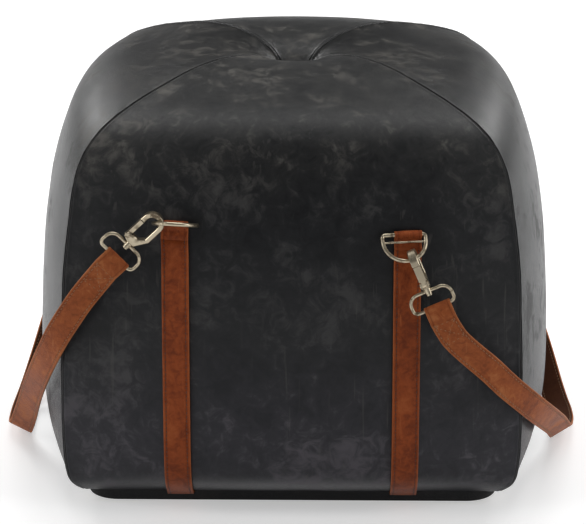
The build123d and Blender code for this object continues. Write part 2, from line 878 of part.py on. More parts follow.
def carry_leg(frame, quarter, offset, shares):
    end, start = strap_end(frame, quarter, offset)
    origin = Plane(start)
    along = tuple(origin.x_dir)
    across = tuple(origin.y_dir)
    size = (form_half_width, form_half_width, form_height, 1, 1, 1)
    route = [tuple(a * b for a, b in zip(row, size)) for row in shares]
    if sum(a * b for a, b in zip(across, route[0][3:])) < 0:
        across = negative(across)
    rows = [tuple(origin.origin) + across] + route
    for blend in range(route_blends):
        rows = smoothed(rows)
    directions = runs([row[:3] for row in rows])
    directions[0] = along
    directions[-1] = (0, 1, 0)
    sections = [
        strap_section(row[:3], row[3:], way, strap_width, strap_thickness)
        for row, way in zip(rows, directions)
    ]
    return end + ruled(sections)


def carry_strap(frame, quarter, offset, shares):
    leg = carry_leg(frame, quarter, offset, shares)
    return leg + mirrored_back(leg)


# Writing the pieces
def write(name, shape):
    export_step(shape, os.path.join("parts", name + ".step"))


def write_pair(name, shape):
    write("front_" + name, shape)
    write("back_" + name, mirrored_back(shape))


def write_body():
    gore = leather_gore()
    bead = seam_bead()
    pad = side_pad()
    bottom_rail = rail(base_thickness, bottom_rail_height)
    top_rail = rail(deck_top_height - deck_thickness - top_rail_height, top_rail_height)
    for quarter, side in enumerate(("front", "right", "back", "left")):
        write("leather_gore_" + side, turned(gore, quarter))
        write("side_pad_" + side, turned(pad, quarter))
        write("bottom_rail_" + side, turned(bottom_rail, quarter))
        write("top_rail_" + side, turned(top_rail, quarter))
    corners = ("front_left", "front_right", "back_right", "back_left")
    for quarter, corner in enumerate(corners):
        write("seam_bead_" + corner, turned(bead, quarter))
    for name, sx, sy in (("front_left", -1, -1), ("front_right", 1, -1),
                         ("back_right", 1, 1), ("back_left", -1, 1)):
        write("corner_post_" + name, corner_post(sx, sy))
    write("base_board", base_board())
    write("base_wrap", base_wrap())
    write("deck_board", deck_board())
    write("frame_screws", frame_screws())
    write("seat_foam", seat_foam())
    write("tuft_button", tuft_button())
    write("tuft_washer", tuft_washer())
    write("tuft_twine", tuft_twine())


def write_side(name, side, bar_height, ring, frame, quarter, offset, shares):
    write("sling_strap_" + name, sling_strap(side, bar_height))
    write_pair("d_ring_" + name, ring.location * d_ring())
    write_pair("hook_body_" + name, frame.location * hook_body())
    write_pair("hook_gate_" + name, frame.location * hook_gate())
    write_pair("gate_rivet_" + name, frame.location * gate_rivet())
    write_pair("swivel_loop_" + name, on_swivel(frame, quarter) * swivel_loop())
    write("carry_strap_" + name, carry_strap(frame, quarter, offset, shares))


def main():
    os.makedirs("parts", exist_ok=True)
    write_body()
    write_side("left", -1, left_bar_height, left_ring_frame(), left_hook_frame(), 0,
               left_strap_offset, left_route_shares)
    write_side("right", 1, right_bar_height, right_ring_frame(), right_hook_frame(), 1,
               right_strap_offset, right_route_shares)


main()
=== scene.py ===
# %% [markdown]
# # A leather pouf with clip-on carry straps
#
# The pouf is a square upholstered seat. Four charcoal leather gores, each one side and
# its quarter of the top, are sewn into a cover and pulled down by a button in the
# middle. Two tan sling straps run under it to D-rings, and two tan carry straps are
# clipped to the rings. This lesson dresses a measured model of it. Wood, base, metal
# and twine come from that model. Leather, straps, thread and foam are built here.

# %% Loading the measured frame
import bpy
import json
import math
import numpy as np
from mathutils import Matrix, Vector, noise


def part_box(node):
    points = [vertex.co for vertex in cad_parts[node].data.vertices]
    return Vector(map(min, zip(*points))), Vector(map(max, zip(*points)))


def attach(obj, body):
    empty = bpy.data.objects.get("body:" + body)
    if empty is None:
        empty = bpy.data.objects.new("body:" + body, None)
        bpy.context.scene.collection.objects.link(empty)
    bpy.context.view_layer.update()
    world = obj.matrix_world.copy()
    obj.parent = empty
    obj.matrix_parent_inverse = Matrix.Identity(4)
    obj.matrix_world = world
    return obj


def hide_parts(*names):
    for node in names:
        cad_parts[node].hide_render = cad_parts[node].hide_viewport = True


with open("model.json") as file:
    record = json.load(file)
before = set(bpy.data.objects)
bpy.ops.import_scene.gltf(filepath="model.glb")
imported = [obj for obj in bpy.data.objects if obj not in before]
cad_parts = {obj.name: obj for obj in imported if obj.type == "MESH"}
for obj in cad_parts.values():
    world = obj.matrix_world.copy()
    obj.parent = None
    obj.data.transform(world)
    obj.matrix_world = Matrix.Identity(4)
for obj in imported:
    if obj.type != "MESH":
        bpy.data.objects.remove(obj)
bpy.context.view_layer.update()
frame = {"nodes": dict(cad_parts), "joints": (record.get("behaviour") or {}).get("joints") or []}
nodes = frame["nodes"]
scene = bpy.context.scene
print("pieces in the frame:", len(nodes))

# %% [markdown]
# ## Helpers for sewn surfaces
#
# Leather is a sheet, so most pieces here are grids of points: rows along the piece and
# columns across it. Subdividing a rough cage would round everything the same way.
# Points worked out from the sewing itself put detail only where the hand put it. Sizes
# of these pieces are in millimetres, as a maker would cut them, until they are built.

# %% Points, grids and objects
MM = 0.001


def unit(v):
    v = np.asarray(v, float)
    return v / np.maximum(np.linalg.norm(v, axis=-1, keepdims=True), 1e-12)


def smoothed(rows, times=1):
    """Rows with one more between each pair, on a smooth curve through all of them."""
    rows = np.array(rows, float)
    for _ in range(times):
        ends = np.vstack([rows[:1], rows, rows[-1:]])
        middles = 0.5625 * (rows[:-1] + rows[1:]) - 0.0625 * (ends[:-3] + ends[3:])
        result = np.empty((2 * len(rows) - 1, rows.shape[1]))
        result[0::2], result[1::2] = rows, middles
        rows = result
    return rows


def turned(points, quarter):
    """Points turned about the pouf's upright axis by quarter turns."""
    x, y, z = np.moveaxis(np.asarray(points, float), -1, 0)
    for _ in range(quarter % 4):
        x, y = -y, x
    return np.stack([x, y, z], -1)


def mirrored(points):
    """Points mirrored from the front to the back."""
    return np.asarray(points, float) * (1, -1, 1)


def grid_faces(rows, columns, ring=False, start=0):
    """Quads of a grid. A ring joins its last column to its first."""
    across = columns if ring else columns - 1
    r, c = np.meshgrid(np.arange(rows - 1), np.arange(across), indexing="ij")
    here, right = r * columns + c, r * columns + (c + 1) % columns
    quads = np.stack([here, right, right + columns, here + columns], -1)
    return (quads.reshape(-1, 4) + start).tolist()


def new_piece(name, points, faces, material, body, values=None):
    """A smooth mesh piece from points in millimetres, riding on a body of the frame."""
    mesh = bpy.data.meshes.new(name)
    mesh.from_pydata((np.asarray(points).reshape(-1, 3) * MM).tolist(), [], faces)
    for key, column in (values or {}).items():
        layer = mesh.attributes.new(key, "FLOAT", "POINT")
        layer.data.foreach_set("value", np.asarray(column, np.float32).ravel())
    mesh.update()
    mesh.shade_smooth()
    mesh.materials.append(material)
    piece = bpy.data.objects.new(name, mesh)
    scene.collection.objects.link(piece)
    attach(piece, body)
    print(f"{name}: {len(mesh.vertices)} points, {len(mesh.polygons)} faces")
    return piece


# %% [markdown]
# ## Shader groups
#
# Pull-up leather is dyed, then rubbed with wax, so its colour is cloudy: pale where it
# was stretched, dark where the wax lies. It also shows fine pores and hairline
# scratches. Several finishes here share these effects, so each is one node group with
# named inputs. Each material then sets its own values. A painted image could do it too,
# but noise in space has no seams and works at any distance.

# %% A small toolkit for node groups
FLOAT, COLOUR = "NodeSocketFloat", "NodeSocketColor"
BLACK = (0, 0, 0, 1)


def new_group(name, inputs, outputs):
    """A shader node group: its tree, the inputs it is given, and its output node."""
    tree = bpy.data.node_groups.new(name, "ShaderNodeTree")
    for label, kind, value in inputs:
        socket = tree.interface.new_socket(label, in_out="INPUT", socket_type=kind)
        socket.default_value = value
    for label, kind in outputs:
        tree.interface.new_socket(label, in_out="OUTPUT", socket_type=kind)
    source = tree.nodes.new("NodeGroupInput")
    target = tree.nodes.new("NodeGroupOutput")
    return tree, source.outputs, target


def feed(tree, node, label, value):
    """Joins a value to one of a node's inputs, or types it in there."""
    if isinstance(value, bpy.types.NodeSocket):
        tree.links.new(value, node.inputs[label])
    else:
        node.inputs[label].default_value = value


def add(tree, kind, links=None, **settings):
    """A node with its settings, and with the links or values its inputs take."""
    node = tree.nodes.new("ShaderNode" + kind)
    for key, value in settings.items():
        setattr(node, key, value)
    for key, value in (links or {}).items():
        feed(tree, node, key, value)
    return node


def spread(tree, value, low, high, to_low=0.0, to_high=1.0):
    """A value mapped from one range to another with soft ends."""
    links = {"Value": value, "From Min": low, "From Max": high,
             "To Min": to_low, "To Max": to_high}
    return add(tree, "MapRange", links, interpolation_type="SMOOTHSTEP").outputs["Result"]


def mixed(tree, share, a, b, blend="MIX"):
    """Two colours mixed by a share."""
    links = {0: share, 6: a, 7: b}
    return add(tree, "Mix", links, data_type="RGBA", blend_type=blend).outputs[2]


def calc(tree, operation, a, b):
    """Two values joined by one math operation."""
    return add(tree, "Math", {0: a, 1: b}, operation=operation).outputs[0]


def product(tree, a, b):
    return calc(tree, "MULTIPLY", a, b)


def own_place(tree):
    """Places on the piece itself, so that a pattern has no seams."""
    return add(tree, "TexCoord").outputs["Object"]


def noise_value(tree, vector, scale, detail, **more):
    """Soft noise from about 0 to 1."""
    links = {"Vector": vector, "Scale": scale, "Detail": detail, **more}
    return add(tree, "TexNoise", links).outputs["Fac"]


# %% Group: cloudy wax colour
def make_wax_clouds():
    tree, given, target = new_group(
        "wax_clouds",
        [("Scale", FLOAT, 10.0), ("Dark", COLOUR, BLACK), ("Middle", COLOUR, BLACK),
         ("Pale", COLOUR, BLACK), ("Pale Amount", FLOAT, 0.6)],
        [("Color", COLOUR), ("Mask", FLOAT)])
    place = own_place(tree)
    fine = product(tree, given["Scale"], 4.2)
    broad = noise_value(tree, place, given["Scale"], 5.0, Roughness=0.62, Distortion=0.5)
    small = noise_value(tree, place, fine, 6.0, Roughness=0.66, Distortion=0.9)
    both = calc(tree, "ADD", product(tree, broad, 0.55), product(tree, small, 0.45))
    depth = spread(tree, both, 0.36, 0.54)
    pale = product(tree, spread(tree, both, 0.50, 0.64), given["Pale Amount"])
    base = mixed(tree, depth, given["Dark"], given["Middle"])
    feed(tree, target, "Color", mixed(tree, pale, base, given["Pale"]))
    feed(tree, target, "Mask", pale)
    return tree


wax_clouds = make_wax_clouds()
print("group:", wax_clouds.name)

# %% Group: leather pores and creases
def make_hide_grain():
    tree, given, target = new_group(
        "hide_grain",
        [("Pore Scale", FLOAT, 1400.0), ("Crease Scale", FLOAT, 160.0),
         ("Crease Depth", FLOAT, 0.5)],
        [("Height", FLOAT)])
    place = own_place(tree)
    bent = add(tree, "TexNoise", {"Vector": place, "Scale": 220.0, "Detail": 2.0}).outputs["Color"]
    shift = add(tree, "VectorMath", {0: bent, "Scale": 0.0016}, operation="SCALE").outputs[0]
    moved = add(tree, "VectorMath", {0: place, 1: shift}, operation="ADD").outputs[0]
    cells = add(tree, "TexVoronoi", {"Vector": moved, "Scale": given["Pore Scale"]},
                feature="DISTANCE_TO_EDGE").outputs["Distance"]
    pores = spread(tree, cells, 0.0, 0.22)
    crease = noise_value(tree, place, given["Crease Scale"], 5.0, Roughness=0.6, Distortion=0.7)
    deep = product(tree, crease, given["Crease Depth"])
    height = calc(tree, "ADD", product(tree, pores, 0.35), deep)
    feed(tree, target, "Height", height)
    return tree


hide_grain = make_hide_grain()
print("group:", hide_grain.name)

# %% Group: hairline scratches
def make_hair_scratches():
    tree, given, target = new_group(
        "hair_scratches", [("Scale", FLOAT, 1.0), ("Amount", FLOAT, 0.5)],
        [("Mask", FLOAT)])
    place = own_place(tree)
    total = None
    turns = ((0.3, 0.5, 0.9, 130.0), (1.1, 0.2, 2.2, 150.0), (0.7, 1.4, 0.4, 170.0))
    for turn_x, turn_y, turn_z, across in turns:
        long_way = add(tree, "Mapping", {"Vector": place, "Rotation": (turn_x, turn_y, turn_z),
                                         "Scale": (across, across, 7.0)}).outputs[0]
        lines = noise_value(tree, long_way, given["Scale"], 2.0, Distortion=0.25)
        line = spread(tree, lines, 0.66, 0.73)
        total = line if total is None else calc(tree, "MAXIMUM", total, line)
    worn = noise_value(tree, place, 9.0, 2.0)
    there = product(tree, total, spread(tree, worn, 0.42, 0.62))
    feed(tree, target, "Mask", product(tree, there, given["Amount"]))
    return tree


hair_scratches = make_hair_scratches()
print("group:", hair_scratches.name)

# %% [markdown]
# ## Finishes
#
# Leather and metal below join the groups above with their own colours, and the rest
# have a pattern of their own. Uniform values, such as the sheen of thread or how much
# leather shines, are typed straight into the shader.

# %% Material helpers
def new_material(name):
    """A material, its node tree and its Principled shader."""
    material = bpy.data.materials.new(name)
    material.use_nodes = True
    tree = material.node_tree
    tree.nodes.clear()
    shader = tree.nodes.new("ShaderNodeBsdfPrincipled")
    out = tree.nodes.new("ShaderNodeOutputMaterial")
    tree.links.new(shader.outputs[0], out.inputs[0])
    return material, tree, shader


def use_group(tree, group, **values):
    node = tree.nodes.new("ShaderNodeGroup")
    node.node_tree = group
    for key, value in values.items():
        node.inputs[key.replace("_", " ").title()].default_value = value
    return node.outputs


def dress(tree, shader, colour, rough, height, depth, strength):
    """Gives a shader its colour, its roughness and its relief."""
    relief = add(tree, "Bump", {"Height": height, "Distance": depth, "Strength": strength})
    feed(tree, shader, "Base Color", colour)
    feed(tree, shader, "Roughness", rough)
    feed(tree, shader, "Normal", relief.outputs[0])


def piece_value(tree, name):
    """A value stored on the piece's own points."""
    return add(tree, "Attribute", attribute_name=name).outputs["Fac"]


# %% Charcoal pull-up leather
# The tints by height and the lifts are matched to the photograph's tones. They are
# painted light and shade: the studio's light on leather of one even colour.
# Each lift scales one copy of the leather: painted light on the front and back gores, painted shade
# on the side gores and on the button in its dimple.
FRONT_PAINTED_LIGHT, SIDE_PAINTED_SHADE, BUTTON_PAINTED_SHADE = 1.25, 0.9, 0.35
PLAIN_SHINE, SIDE_SHINE = 0.22, 0.12


def painted_light_by_height(tree):
    """Painted light by height: a pale warm highlight on top, dark shade at the middle, a cool pale
    reflection below.
    """
    place = own_place(tree)
    height = add(tree, "SeparateXYZ", {0: place}).outputs["Z"]
    drift = noise_value(tree, place, 7.0, 3.0)
    level = calc(tree, "ADD", height, product(tree, drift, 0.10))
    low = mixed(tree, spread(tree, level, 0.12, 0.26), (1.15, 1.10, 1.32, 1), (0.62, 0.64, 0.68, 1))
    return mixed(tree, spread(tree, level, 0.33, 0.44), low, (1.30, 1.28, 1.20, 1))


def make_charcoal(name, lift, shine=PLAIN_SHINE):
    material, tree, shader = new_material(name)
    tone = lambda r, g, b: (r * lift, g * lift, b * lift, 1)
    clouds = use_group(tree, wax_clouds, scale=15.0, dark=tone(0.0070, 0.0074, 0.0084),
                       middle=tone(0.0165, 0.0168, 0.0176), pale=tone(0.066, 0.063, 0.060),
                       pale_amount=0.8)
    grain = use_group(tree, hide_grain, pore_scale=1500.0, crease_scale=150.0, crease_depth=0.5)
    marks = use_group(tree, hair_scratches, scale=1.0, amount=0.3)
    seam = piece_value(tree, "seam")
    colour = mixed(tree, 1.0, clouds["Color"], painted_light_by_height(tree), "MULTIPLY")
    colour = mixed(tree, marks["Mask"], colour, tone(0.075, 0.072, 0.066))
    # Painted highlight: the raised lap on the side gores is lightened.
    lap = product(tree, piece_value(tree, "lap"), 0.3)
    colour = mixed(tree, lap, colour, tone(0.075, 0.075, 0.078))
    # Painted shade: the crease of each seam and the stitch pits beside it are darkened nearly to
    # black.
    colour = mixed(tree, seam, colour, (0.003, 0.003, 0.003, 1))
    rough = spread(tree, clouds["Mask"], 0.0, 0.7, 0.31, 0.47)
    rough = calc(tree, "ADD", rough, product(tree, marks["Mask"], 0.15))
    rough = calc(tree, "ADD", rough, product(tree, seam, 0.3))
    height = calc(tree, "SUBTRACT", grain["Height"], product(tree, marks["Mask"], 0.5))
    feed(tree, shader, "Specular IOR Level", shine)
    dress(tree, shader, colour, rough, height, 0.0003, 0.55)
    return material


charcoal = make_charcoal("charcoal_leather", FRONT_PAINTED_LIGHT)
shaded_side_charcoal = make_charcoal("side_charcoal_leather", SIDE_PAINTED_SHADE, SIDE_SHINE)
shaded_button_charcoal = make_charcoal("shaded_button_leather", BUTTON_PAINTED_SHADE)
print("finishes:", charcoal.name, shaded_side_charcoal.name, shaded_button_charcoal.name)

# %% Tan strap leather, smooth outside and suede inside
TAN_SHINE = 0.15


def make_tan(name, dark, middle, pale, inner, pale_amount, roughness):
    material, tree, shader = new_material(name)
    clouds = use_group(tree, wax_clouds, scale=34.0, dark=dark, middle=middle, pale=pale,
                       pale_amount=pale_amount)
    grain = use_group(tree, hide_grain, pore_scale=1900.0, crease_scale=420.0, crease_depth=0.7)
    marks = use_group(tree, hair_scratches, scale=2.2, amount=0.55)
    edge, groove = piece_value(tree, "edge"), piece_value(tree, "groove")
    inside = spread(tree, piece_value(tree, "side"), -0.2, -0.6)
    colour = mixed(tree, marks["Mask"], clouds["Color"], pale)
    colour = mixed(tree, product(tree, groove, 0.7), colour, dark)
    colour = mixed(tree, product(tree, inside, 0.85), colour, inner)
    colour = mixed(tree, product(tree, edge, 0.75), colour, pale)
    rough = spread(tree, clouds["Mask"], 0.0, 0.8, roughness, roughness + 0.14)
    rough = calc(tree, "ADD", rough, product(tree, inside, 0.3))
    height = calc(tree, "SUBTRACT", grain["Height"], product(tree, marks["Mask"], 0.4))
    feed(tree, shader, "Specular IOR Level", TAN_SHINE)
    dress(tree, shader, colour, rough, height, 0.00028, 0.7)
    return material


sling_leather = make_tan("sling_leather", (0.165, 0.0310, 0.0075, 1), (0.300, 0.062, 0.0135, 1),
                         (0.450, 0.125, 0.036, 1), (0.050, 0.018, 0.009, 1), 0.5, 0.48)
tan_leather = make_tan("tan_leather", (0.205, 0.049, 0.0140, 1), (0.350, 0.090, 0.0240, 1),
                       (0.490, 0.175, 0.065, 1), (0.052, 0.022, 0.013, 1), 0.75, 0.50)
print("finishes:", sling_leather.name, tan_leather.name)

# %% Thread, in three colours
def make_thread(name, colour, shadow):
    material, tree, shader = new_material(name)
    place = own_place(tree)
    twist = add(tree, "TexWave", {"Vector": place, "Scale": 900.0, "Distortion": 1.5, "Detail": 1.0},
                bands_direction="DIAGONAL").outputs["Fac"]
    rough = spread(tree, twist, 0.0, 1.0, 0.75, 0.55)
    feed(tree, shader, "Sheen Weight", 0.2)
    dress(tree, shader, mixed(tree, twist, shadow, colour), rough, twist, 0.0001, 0.8)
    return material


dark_thread = make_thread("dark_thread", (0.050, 0.050, 0.052, 1), (0.004, 0.004, 0.004, 1))
tan_thread = make_thread("tan_thread", (0.560, 0.300, 0.140, 1), (0.070, 0.022, 0.010, 1))
brown_thread = make_thread("brown_thread", (0.095, 0.030, 0.013, 1), (0.030, 0.009, 0.005, 1))
print("finishes: three threads")

# %% Antique metal of rings and hooks
def make_antique_metal(name, bright, tarnish, roughness):
    material, tree, shader = new_material(name)
    place = own_place(tree)
    cast = noise_value(tree, place, 180.0, 6.0, Roughness=0.7)
    broad = noise_value(tree, place, 55.0, 3.0)
    dull = product(tree, spread(tree, cast, 0.45, 0.62), spread(tree, broad, 0.40, 0.62))
    marks = use_group(tree, hair_scratches, scale=5.0, amount=0.7)
    colour = mixed(tree, dull, bright, tarnish)
    colour = mixed(tree, marks["Mask"], colour, tuple(min(1.0, 1.25 * c) for c in bright))
    rough = spread(tree, dull, 0.0, 1.0, roughness, roughness + 0.22)
    feed(tree, shader, "Metallic", spread(tree, dull, 0.0, 1.0, 1.0, 0.8))
    height = calc(tree, "SUBTRACT", cast, marks["Mask"])
    dress(tree, shader, colour, rough, height, 0.00012, 0.35)
    return material


hardware_metal = make_antique_metal("hardware_metal", (0.50, 0.43, 0.315, 1),
                                    (0.15, 0.115, 0.075, 1), 0.30)
plain_steel = make_antique_metal("plain_steel", (0.56, 0.57, 0.58, 1), (0.22, 0.20, 0.18, 1), 0.34)
print("finishes: two metals")

# %% Foam, black wrap, wood and twine
def make_foam():
    material, tree, shader = new_material("foam")
    place = own_place(tree)
    cells = add(tree, "TexVoronoi", {"Vector": place, "Scale": 900.0}).outputs["Distance"]
    tint = noise_value(tree, place, 14.0, 4.0)
    colour = mixed(tree, tint, (0.62, 0.56, 0.42, 1), (0.78, 0.73, 0.60, 1))
    # Painted shade: the foam is darkened in its open pits.
    pit_shaded = mixed(tree, spread(tree, cells, 0.5, 0.1), colour, (0.42, 0.37, 0.27, 1))
    dress(tree, shader, pit_shaded, spread(tree, cells, 0.0, 0.6, 0.95, 0.85), cells, 0.0006, 0.8)
    return material


def make_black_wrap():
    material, tree, shader = new_material("black_wrap")
    place = own_place(tree)
    fibres = noise_value(tree, place, 700.0, 6.0, Roughness=0.75)
    dust = noise_value(tree, place, 40.0, 4.0)
    dusty = spread(tree, dust, 0.45, 0.7)
    colour = mixed(tree, dusty, (0.0045, 0.0045, 0.0055, 1), (0.017, 0.016, 0.016, 1))
    fuzzy = mixed(tree, spread(tree, fibres, 0.5, 0.75), colour, (0.02, 0.02, 0.02, 1))
    dress(tree, shader, fuzzy, spread(tree, fibres, 0.3, 0.7, 0.9, 0.7), fibres, 0.0004, 0.6)
    return material


def make_wood():
    material, tree, shader = new_material("frame_wood")
    place = own_place(tree)
    long_way = add(tree, "Mapping", {"Vector": place, "Scale": (6.0, 34.0, 34.0)}).outputs[0]
    rings = noise_value(tree, long_way, 3.0, 7.0, Distortion=0.8)
    late = spread(tree, rings, 0.35, 0.65)
    colour = mixed(tree, late, (0.35, 0.20, 0.09, 1), (0.62, 0.43, 0.24, 1))
    dress(tree, shader, colour, spread(tree, rings, 0.3, 0.7, 0.7, 0.55), rings, 0.0004, 0.5)
    return material


foam, black_wrap, frame_wood = make_foam(), make_black_wrap(), make_wood()
twine = make_thread("twine", (0.42, 0.33, 0.20, 1), (0.20, 0.14, 0.08, 1))
print("finishes: foam, wrap, wood, twine")

# %% [markdown]
# ## The leather gores
#
# One gore is a side of the pouf and its quarter of the top, cut in one piece. Each
# level is the corner seam's place and the mid-side's place with an arc between, as in
# the measured model. A cloth simulation could inflate a cover over the foam, but this
# leather is stretched tight over firm foam, so its form is known and only the sewing
# pulls on it. The points are therefore worked out directly, finer near the seams, and
# then pressed in or raised where the stitches do it.

# %% Levels of the form
# Each row is a level as shares of the form's half width and height: the corner seam's
# place and height, then the mid-side's place and height.
FORM_HALF, FORM_HEIGHT = 250.0, 400.0
FORM_SHARES = [
    (.800, .030, .808, .030), (.828, .048, .872, .052), (.848, .070, .936, .079),
    (.858, .105, .984, .112), (.864, .160, 1.006, .165), (.866, .238, 1.014, .238),
    (.864, .325, 1.013, .325), (.860, .412, 1.008, .412), (.855, .500, 1.000, .500),
    (.848, .588, .988, .588), (.837, .655, .973, .657), (.824, .720, .955, .720),
    (.810, .780, .932, .775), (.792, .828, .906, .825), (.766, .865, .876, .872),
    (.728, .898, .836, .912), (.680, .924, .772, .945), (.620, .946, .690, .967),
    (.552, .965, .600, .980), (.480, .982, .520, .990), (.404, .998, .440, .999),
    (.332, 1.008, .364, 1.004), (.264, 1.011, .294, 1.004), (.208, 1.008, .228, .998),
    (.152, 1.000, .164, .986), (.104, .985, .112, .970), (.072, .965, .078, .952),
    (.052, .940, .058, .940)]
FORM_SIZE = np.array([FORM_HALF, FORM_HEIGHT, FORM_HALF, FORM_HEIGHT])
form_rows = smoothed(FORM_SHARES, 1) * FORM_SIZE
skin_rows = smoothed(FORM_SHARES, 3) * FORM_SIZE
print("levels of the skin:", len(skin_rows))

# %% Points of one gore's outer face
# Columns near a seam are given by their distance from it. Narrow levels squeeze them.
TOPSTITCH = 4.6
SEAM_STEPS = np.array([0, .3, .6, .9, 1.3, 1.8, 2.5, 3.2, 3.8, 4.2, TOPSTITCH,
                       5.0, 5.5, 6.4, 7.8, 10, 13, 17])
STITCH_COLUMN = int(np.argmax(SEAM_STEPS == TOPSTITCH))
NARROW_HALF, MIDDLE_COLUMNS = 34.0, 34


def across_places(half):
    """Places across a level: close together at the seams, even in the middle."""
    near = SEAM_STEPS * min(1.0, half / NARROW_HALF)
    far = near[-1] + (half - near[-1]) * np.linspace(0, 1, MIDDLE_COLUMNS + 1)[1:]
    inward = np.concatenate([near, far])
    return np.concatenate([inward - half, (half - inward)[-2::-1]])


def arc_points(rows, places):
    """Points on the arc of each level at places across the front gore."""
    half, low, middle, high = (rows[:, k:k + 1] for k in range(4))
    rise = np.hypot(middle - half, high - low)
    radius = (half ** 2 + rise ** 2) / (2 * rise)
    share = (np.sqrt(np.maximum(radius ** 2 - places ** 2, 0)) - (radius - rise)) / rise
    return np.stack([places, -(half + (middle - half) * share), low + (high - low) * share], -1)


def grid_normals(points):
    across, up = np.gradient(points, axis=1), np.gradient(points, axis=0)
    return unit(np.cross(across, up))


def seam_distance(points):
    steps = np.linalg.norm(np.diff(points, axis=1), axis=2)
    left = np.concatenate([np.zeros((len(points), 1)), np.cumsum(steps, 1)], 1)
    return np.minimum(left, left[:, -1:] - left)


places = np.array([across_places(row[0]) for row in skin_rows])
front_skin = arc_points(skin_rows, places)
front_normals = grid_normals(front_skin)
from_seam = seam_distance(front_skin)
print("gore grid:", front_skin.shape[:2])

# %% Stitching marks on the gores
LAP_RISE, LAP_PIT, STITCH_PIT, TURN_PIT, TURN_ROLL = 0.85, 1.1, 0.5, 1.3, 0.25
WAVE_RISE, SMALL_WAVE_RISE, HIGHEST_WAVE, PUCKER_RISE = 0.55, 0.22, 0.15, 0.35


def ramp(value, low, high):
    t = np.clip((value - low) / (high - low), 0, 1)
    return t * t * (3 - 2 * t)


def dent(value, centre, width):
    return np.exp(-((value - centre) / width) ** 2)


def sewn_lift(distance, quarter):
    """How far the leather stands out near its seams, in millimetres."""
    if quarter % 2:
        lap = ramp(distance, 0.4, 1.5) * (1 - ramp(distance, 4.3, 5.6))
        pits = LAP_PIT * dent(distance, 0, 0.7) + STITCH_PIT * dent(distance, TOPSTITCH, 0.5)
        return LAP_RISE * lap - pits
    return TURN_ROLL * dent(distance, 2.6, 1.4) - TURN_PIT * dent(distance, 0, 1.0)


def field(points, size, seed):
    """Smooth noise at points in millimetres, about -1 to 1."""
    spot = Vector((seed * 7.3, seed * 3.1, seed * 5.7))
    flat = points.reshape(-1, 3) / size
    return np.array([noise.noise(Vector(p) + spot) for p in flat]).reshape(points.shape[:-1])


def soft_lift(points, distance):
    """Slow waves of the padding, and puckers that the seams pull in."""
    waves = WAVE_RISE * field(points, 70.0, 1) + SMALL_WAVE_RISE * field(points, 26.0, 2)
    puckers = field(points, 7.0, 3) * np.exp(-distance / 9.0)
    return np.minimum(waves, HIGHEST_WAVE) + PUCKER_RISE * puckers * ramp(distance, 0.5, 2.0)


# %% Building the four gores
LEATHER_THICK = 1.5
gore_grids = {}
for quarter, side in enumerate(("front", "right", "back", "left")):
    points = turned(front_skin, quarter)
    outward = turned(front_normals, quarter)
    lift = sewn_lift(from_seam, quarter) + soft_lift(points, from_seam)
    skin = points + outward * lift[..., None]
    # seam marks the crease where two gores meet, which the leather's colour darkens as painted shade.
    seam, lap, finish = dent(from_seam, 0, 1.0), 0 * from_seam, charcoal
    if quarter % 2:
        # On the side gores the stitch pits take the same painted shade.
        seam = seam + 0.75 * dent(from_seam, TOPSTITCH, 0.5)
        # lap marks the raised lap, which takes a painted highlight in the leather's colour.
        lap = ramp(from_seam, 1.0, 1.8) * (1 - ramp(from_seam, 3.6, 5.0))
        # The side gores take the leather copy with painted shade.
        finish = shaded_side_charcoal
    gore = new_piece("gore_" + side, skin, grid_faces(*skin.shape[:2]), finish, "pouf_body",
                     {"seam": np.clip(seam, 0, 1), "lap": lap})
    thick = gore.modifiers.new("leather thickness", "SOLIDIFY")
    thick.thickness = LEATHER_THICK * MM
    thick.offset = -1
    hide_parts("leather_gore_" + side)
    gore_grids[side] = (skin, outward)

# %% [markdown]
# ## Stitches
#
# A row of stitches is many small loops of thread that dip into the leather at both
# ends. A bump texture would do from afar, but real little loops catch the light and
# leave their own shadow. One helper lays loops along any line, and every seam uses it.

# %% Laying stitches along a line
def lengths_along(line):
    """How far along a line each of its points lies."""
    steps = np.linalg.norm(np.diff(line, axis=0), axis=1)
    return np.concatenate([[0], np.cumsum(steps)])


def read_at(table, reach, spots):
    """A table of points or directions, read at spots between its own places."""
    return np.stack([np.interp(spots, reach, table[:, k]) for k in range(3)], 1)


def even_points(line, outward, step):
    """Points every step along a line, the way ahead there and the way outward."""
    reach = lengths_along(line)
    count = max(int(reach[-1] / step), 1)
    spots = (np.arange(count) + 0.5) * reach[-1] / count
    ahead = read_at(line, reach, spots + 0.1) - read_at(line, reach, spots - 0.1)
    return read_at(line, reach, spots), unit(ahead), unit(read_at(outward, reach, spots))


def stitch_mesh(runs, length, gap, radius, slant):
    """Thread loops along several (line, outward) runs, as points and faces."""
    ring = np.linspace(0, 2 * np.pi, 6, endpoint=False)
    lengthways = np.array([-0.5, -0.42, -0.2, 0.2, 0.42, 0.5])
    width = np.array([0.25, 0.8, 1.0, 1.0, 0.8, 0.25])
    height = np.array([-1.4, -0.2, 0.35, 0.35, -0.2, -1.4]) * radius
    points, faces = [], []
    for line, outward in runs:
        spots, ahead, up = even_points(line, outward, length + gap)
        side = unit(np.cross(ahead, up))
        ahead = unit(ahead + slant * side)
        side = unit(np.cross(ahead, up))
        for spot, a, u, s in zip(spots, ahead, up, side):
            start = len(points) * len(width) * len(ring)
            middle = spot + np.outer(lengthways * length, a) + np.outer(height, u)
            around = np.outer(np.cos(ring), s) + np.outer(np.sin(ring), u)
            points.append(middle[:, None] + around[None] * (width * radius)[:, None, None])
            faces += grid_faces(len(width), len(ring), True, start)
    return np.concatenate([p.reshape(-1, 3) for p in points]), faces


